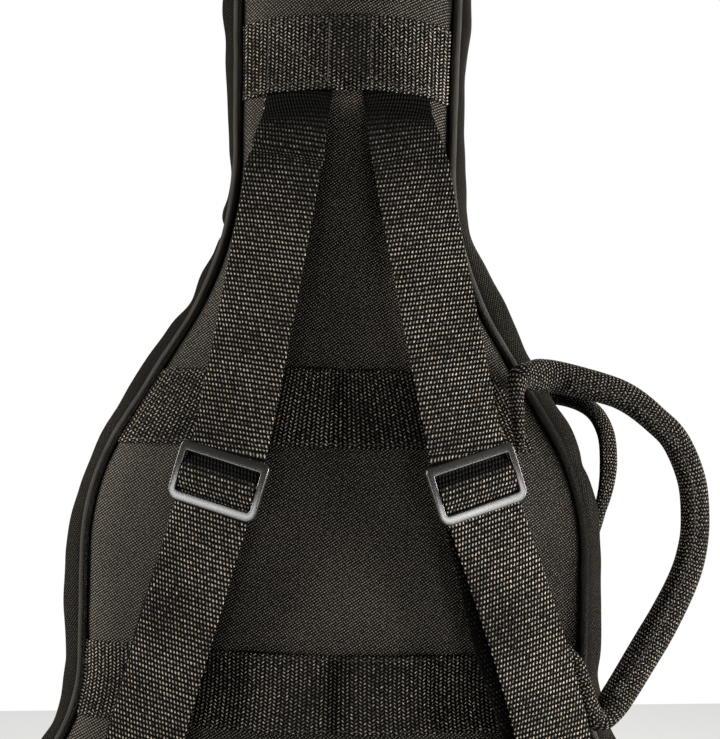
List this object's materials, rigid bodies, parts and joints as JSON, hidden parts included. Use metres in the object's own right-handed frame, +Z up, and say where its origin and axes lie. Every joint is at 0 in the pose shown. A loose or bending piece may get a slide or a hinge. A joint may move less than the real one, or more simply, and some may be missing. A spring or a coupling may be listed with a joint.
{
  "type": "padded guitar gig bag",
  "caption": "Soft padded gig bag for a full-size acoustic guitar, with backpack straps, carry handles, a zipped lid and two front pockets.",
  "frame": {"origin": "on the floor under the middle of the base, on the rear base guard's sole", "axes": "+Z up along the bag, +X towards the carry-handle side, -Y out of the back panel that carries the straps"},
  "size_m": [0.4632, 0.2296, 1.1524],
  "materials": {
    "shell_fabric": "woven black polyester, faintly warm",
    "lining": "smooth dark grey nylon",
    "foam": "closed-cell foam padding, dark grey",
    "plush": "brushed plush over foam",
    "webbing": "heavy woven black nylon webbing with a slanted rib",
    "piping": "corded binding, diagonal weave",
    "zip_tape": "woven tape",
    "zip_coil": "moulded nylon teeth",
    "dark_metal": "blackened metal",
    "pull_rubber": "soft moulded pull",
    "base_rubber": "ribbed moulded rubber",
    "buckle_plastic": "satin black nylon",
    "hook_loop": "hook-and-loop strip"
  },
  "bodies": {
    "shell": {"back_cover": "shell_fabric", "back_foam": "foam", "back_lining": "lining", "rear_gusset_left": "foam", "rear_gusset_right": "foam", "rear_gusset_head": "foam", "rear_gusset_base": "foam", "rear_gusset_cover": "shell_fabric", "rear_zip_tape": "zip_tape", "rear_zip_coil": "zip_coil", "hinge_strip": "shell_fabric", "back_piping": "piping", "top_band": "webbing", "mid_band": "webbing", "lower_band": "webbing", "rear_base_guard": "base_rubber", "strap_roots": "webbing", "anchor_patches": "webbing", "neck_cradle": "plush", "neck_tie": "hook_loop", "end_pad": "plush", "head_pad": "plush"},
    "lid": {"front_cover": "shell_fabric", "front_foam": "foam", "front_lining": "lining", "lid_gusset_left": "foam", "lid_gusset_right": "foam", "lid_gusset_head": "foam", "lid_gusset_base": "foam", "lid_gusset_cover": "shell_fabric", "lid_zip_tape": "zip_tape", "lid_zip_coil": "zip_coil", "front_piping": "piping", "lid_base_guard": "base_rubber", "front_handle_tabs": "webbing", "accessory_pocket": "shell_fabric", "accessory_pocket_zip": "zip_tape", "neck_pocket": "shell_fabric", "neck_pocket_zip": "zip_tape"},
    "strap_left": {"left_strap": "webbing", "left_ring": "dark_metal", "left_anchor_tab": "webbing"},
    "strap_right": {"right_strap": "webbing", "right_ring": "dark_metal", "right_anchor_tab": "webbing"},
    "buckle_left": {"left_buckle": "buckle_plastic", "left_buckle_wrap": "webbing"},
    "buckle_right": {"right_buckle": "buckle_plastic", "right_buckle_wrap": "webbing"},
    "carry_handle_back": {"back_handle": "webbing"},
    "carry_handle_front": {"front_handle": "webbing"},
    "hanging_loop": {"hang_loop": "webbing"},
    "zip_slider_a": {"main_slider_a": "dark_metal"},
    "zip_pull_a": {"main_pull_a": "pull_rubber"},
    "zip_slider_b": {"main_slider_b": "dark_metal"},
    "zip_pull_b": {"main_pull_b": "pull_rubber"},
    "pocket_zip_slider": {"pocket_slider": "dark_metal"},
    "pocket_zip_pull": {"pocket_pull": "pull_rubber"},
    "neck_zip_slider": {"neck_pocket_slider": "dark_metal"},
    "neck_zip_pull": {"neck_pocket_pull": "pull_rubber"}
  },
  "joints": [
    {"name": "lid_hinge", "type": "hinge", "parent": "shell", "child": "lid", "pos_m": [-0.2246, 0.026, 0.165], "axis": [0, 0, 1], "range_deg": [0, 150]},
    {"name": "left_strap_swing", "type": "hinge", "parent": "shell", "child": "strap_left", "pos_m": [-0.035, -0.0944, 0.674], "axis": [0.2209, -0.0242, 0.975], "range_deg": [-8, 5]},
    {"name": "right_strap_swing", "type": "hinge", "parent": "shell", "child": "strap_right", "pos_m": [0.04, -0.0942, 0.674], "axis": [-0.2316, -0.0248, 0.9725], "range_deg": [-8, 8]},
    {"name": "left_buckle_slide", "type": "slide", "parent": "strap_left", "child": "buckle_left", "axis": [-0.2606, 0.0428, -0.9645], "range_m": [0, 0.12]},
    {"name": "right_buckle_slide", "type": "slide", "parent": "strap_right", "child": "buckle_right", "axis": [0.3243, 0.042, -0.945], "range_m": [0, 0.12]},
    {"name": "back_handle_fold", "type": "hinge", "parent": "shell", "child": "carry_handle_back", "pos_m": [0.11, -0.08, 0.522], "axis": [-0.2998, 0, 0.954], "range_deg": [-70, 5]},
    {"name": "front_handle_fold", "type": "hinge", "parent": "lid", "child": "carry_handle_front", "pos_m": [0.112, 0.0756, 0.512], "axis": [-0.2209, -0.0183, 0.9751], "range_deg": [0, 90]},
    {"name": "hang_loop_fold", "type": "hinge", "parent": "shell", "child": "hanging_loop", "pos_m": [0, -0.057, 1.0946], "axis": [1, 0, 0], "range_deg": [-75, 75]},
    {"name": "main_zip_a", "type": "slide", "parent": "shell", "child": "zip_slider_a", "axis": [0.0167, 0, 0.9999], "range_m": [-0.08, 0.01]},
    {"name": "main_pull_a_swing", "type": "hinge", "parent": "zip_slider_a", "child": "zip_pull_a", "pos_m": [0.08569, 0.026, 0.79476], "axis": [0, -1, 0], "range_deg": [0, 150]},
    {"name": "main_zip_b", "type": "slide", "parent": "shell", "child": "zip_slider_b", "axis": [0.0167, 0, 0.9999], "range_m": [-0.01, 0.13]},
    {"name": "main_pull_b_swing", "type": "hinge", "parent": "zip_slider_b", "child": "zip_pull_b", "pos_m": [0.08664, 0.026, 0.85176], "axis": [0, -1, 0], "range_deg": [0, 150]},
    {"name": "pocket_zip", "type": "slide", "parent": "lid", "child": "pocket_zip_slider", "axis": [1, 0, 0], "range_m": [0, 0.21]},
    {"name": "pocket_pull_swing", "type": "hinge", "parent": "pocket_zip_slider", "child": "pocket_zip_pull", "pos_m": [-0.106, 0.1035, 0.436], "axis": [1, 0, 0], "range_deg": [0, 150]},
    {"name": "neck_pocket_zip_slide", "type": "slide", "parent": "lid", "child": "neck_zip_slider", "axis": [0, 0.0169, -0.9999], "range_m": [0, 0.2]},
    {"name": "neck_pocket_pull_swing", "type": "hinge", "parent": "neck_zip_slider", "child": "neck_zip_pull", "pos_m": [0, 0.08363, 0.844], "axis": [1, 0, 0], "range_deg": [0, 150]}
  ]
}
